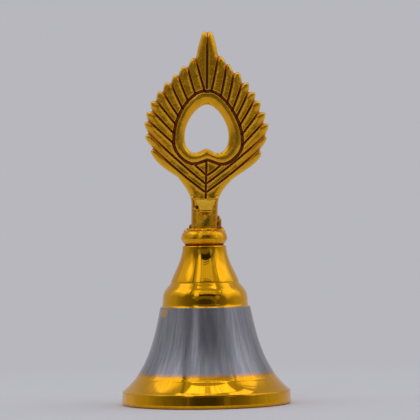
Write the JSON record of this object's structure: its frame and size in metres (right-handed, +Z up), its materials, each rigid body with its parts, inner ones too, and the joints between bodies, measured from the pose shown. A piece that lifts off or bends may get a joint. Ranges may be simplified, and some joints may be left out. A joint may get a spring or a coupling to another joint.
{
  "type": "hand bell",
  "caption": "Small turned brass hand bell with a flat cast peacock-feather handle and a hanging ball clapper inside.",
  "frame": {"origin": "centre of the rim's bottom plane, which the bell stands on", "axes": "+Z up along the cup's axis towards the handle; the plume is flat to the front, which is -Y, and spreads along X"},
  "size_m": [0.0636, 0.0636, 0.1395],
  "materials": {
    "cup_brass": "turned and polished, with a satin grey plated waist",
    "collar_brass": "turned, lightly brushed",
    "cast_brass": "cast, tumbled and lacquered gold, darker in the engraved grooves",
    "braze": "as-melted filler, slightly rough",
    "steel": "plain turned steel hardware",
    "wire_steel": "drawn steel wire",
    "bob_brass": "turned, dull from use"
  },
  "bodies": {
    "bell": {"bell_cup": "cup_brass", "collar_bead": "collar_brass", "feather_handle": "cast_brass", "neck_braze": "braze", "hanger_stud": "steel", "crown_washer": "steel", "crown_nut": "steel"},
    "ring": {"swing_ring": "wire_steel"},
    "clapper": {"clapper_wire": "wire_steel", "clapper_bob": "bob_brass"}
  },
  "joints": [
    {"name": "ring_swing", "type": "hinge", "parent": "bell", "child": "ring", "pos_m": [0, 0, 0.04525], "axis": [0, 1, 0], "range_deg": [-21, 21]},
    {"name": "clapper_swing", "type": "hinge", "parent": "ring", "child": "clapper", "pos_m": [0, 0, 0.0407], "axis": [1, 0, 0], "range_deg": [-12, 12]}
  ]
}
